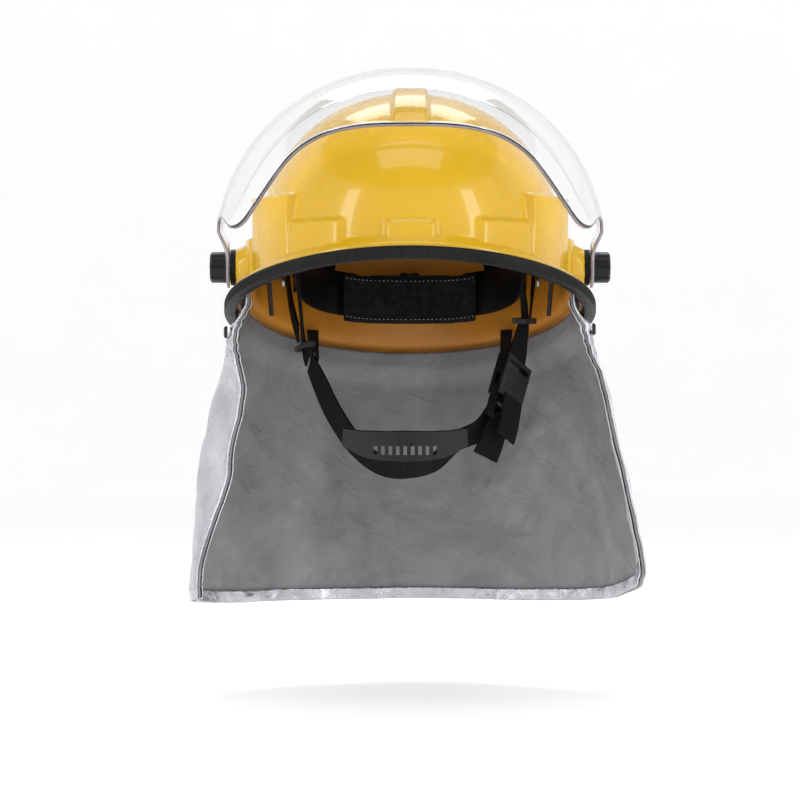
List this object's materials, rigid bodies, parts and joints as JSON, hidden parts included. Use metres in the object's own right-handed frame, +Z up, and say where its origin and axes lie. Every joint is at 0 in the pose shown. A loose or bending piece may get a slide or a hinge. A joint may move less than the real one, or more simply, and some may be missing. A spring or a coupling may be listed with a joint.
{
  "type": "firefighter helmet",
  "caption": "Hard-shell helmet with swing-down clear visor, ribbed edge trim, ratchet head harness, buckled chin strap with cup and a reflective cloth neck cape.",
  "frame": {"origin": "middle of the headband opening, level with the visor pivots", "axes": "+Z up as worn, -Y to the helmet's front, +X to the wearer's left"},
  "size_m": [0.3162, 0.3012, 0.3779],
  "materials": {
    "shell_plastic": "glossy yellow moulded shell",
    "rubber": "ribbed matt black rubber",
    "clear_visor": "clear polished polycarbonate",
    "steel": "plain steel fasteners",
    "foam": "moulded black foam",
    "pad_cloth": "black padded cloth",
    "webbing": "black woven webbing",
    "silver_cloth": "aluminised cloth, shiny and creased",
    "lining_cloth": "matt grey lining",
    "black_plastic": "satin black moulded plastic"
  },
  "bodies": {
    "helmet": {"shell": "shell_plastic", "edge_trim": "rubber", "pivot_washer_left": "black_plastic", "pivot_bolt_left": "steel", "pivot_washer_right": "black_plastic", "pivot_bolt_right": "steel", "impact_liner": "foam", "headband": "black_plastic", "brow_pad": "pad_cloth", "nape_pad": "pad_cloth", "crown_strap_1": "webbing", "crown_strap_2": "webbing", "crown_strap_3": "webbing", "crown_pad": "pad_cloth", "hanger_left_front": "black_plastic", "hanger_left_rear": "black_plastic", "hanger_right_front": "black_plastic", "hanger_right_rear": "black_plastic", "ratchet_housing": "black_plastic", "strap_left_front": "webbing", "strap_left_rear": "webbing", "strap_right_front": "webbing", "strap_right_rear": "webbing", "keeper_left": "black_plastic", "keeper_right": "black_plastic", "rivet_left_front": "steel", "rivet_left_rear": "steel", "rivet_right_front": "steel", "rivet_right_rear": "steel", "buckle_socket": "black_plastic", "strap_tail_outer": "webbing", "hook_tab_left_front": "black_plastic", "hook_tab_right_front": "black_plastic", "hook_tab_left_rear": "black_plastic", "hook_tab_right_rear": "black_plastic", "cape_outer": "silver_cloth", "cape_lining": "lining_cloth", "cape_hem": "silver_cloth", "cape_binding_left": "silver_cloth", "cape_snap_left": "black_plastic", "cape_binding_right": "silver_cloth", "cape_snap_right": "black_plastic"},
    "visor": {"visor": "clear_visor"},
    "knob_left": {"visor_knob_left": "black_plastic"},
    "knob_right": {"visor_knob_right": "black_plastic"},
    "ratchet": {"ratchet_knob": "black_plastic", "ratchet_pinion": "black_plastic"},
    "rack_left": {"rack_left": "black_plastic"},
    "rack_right": {"rack_right": "black_plastic"},
    "chin_strap": {"chin_webbing": "webbing", "chin_cup": "black_plastic", "buckle_plug": "black_plastic", "strap_tail_inner": "webbing"},
    "prong_left": {"buckle_prong_left": "black_plastic"},
    "prong_right": {"buckle_prong_right": "black_plastic"}
  },
  "joints": [
    {"name": "visor_pivot", "type": "hinge", "parent": "helmet", "child": "visor", "pos_m": [0, -0.018, 0], "axis": [1, 0, 0], "range_deg": [0, 82]},
    {"name": "visor_knob_left_turn", "type": "hinge", "parent": "helmet", "child": "knob_left", "pos_m": [-0.133, -0.018, 0], "axis": [1, 0, 0], "range_deg": [0, 180]},
    {"name": "visor_knob_right_turn", "type": "hinge", "parent": "helmet", "child": "knob_right", "pos_m": [0.133, -0.018, 0], "axis": [1, 0, 0], "range_deg": [-180, 0]},
    {"name": "ratchet_turn", "type": "hinge", "parent": "helmet", "child": "ratchet", "pos_m": [0, 0.112, -0.016], "axis": [0, 1, 0], "range_deg": [-110, 110]},
    {"name": "rack_left_slide", "type": "slide", "parent": "helmet", "child": "rack_left", "axis": [1, 0, 0], "range_m": [-0.0097, 0.0097]},
    {"name": "rack_right_slide", "type": "slide", "parent": "helmet", "child": "rack_right", "axis": [-1, 0, 0], "range_m": [-0.0097, 0.0097]},
    {"name": "chin_strap_release", "type": "hinge", "parent": "helmet", "child": "chin_strap", "pos_m": [-0.07, -0.026, -0.064], "axis": [0.0368, 0.9056, -0.4225], "range_deg": [0, 50]},
    {"name": "buckle_prong_left_squeeze", "type": "hinge", "parent": "chin_strap", "child": "prong_left", "pos_m": [0.06858, -0.04042, -0.09595], "axis": [0.7658, -0.6398, 0.0646], "range_deg": [0, 6], "stiffness_Nm_per_rad": 0.05},
    {"name": "buckle_prong_right_squeeze", "type": "hinge", "parent": "chin_strap", "child": "prong_right", "pos_m": [0.06058, -0.04934, -0.08952], "axis": [-0.7658, 0.6398, -0.0646], "range_deg": [0, 6], "stiffness_Nm_per_rad": 0.05}
  ],
  "couplings": [
    {"joint": "rack_left_slide", "follows": "ratchet_turn", "m_per_rad": 0.005},
    {"joint": "rack_right_slide", "follows": "ratchet_turn", "m_per_rad": 0.005}
  ]
}
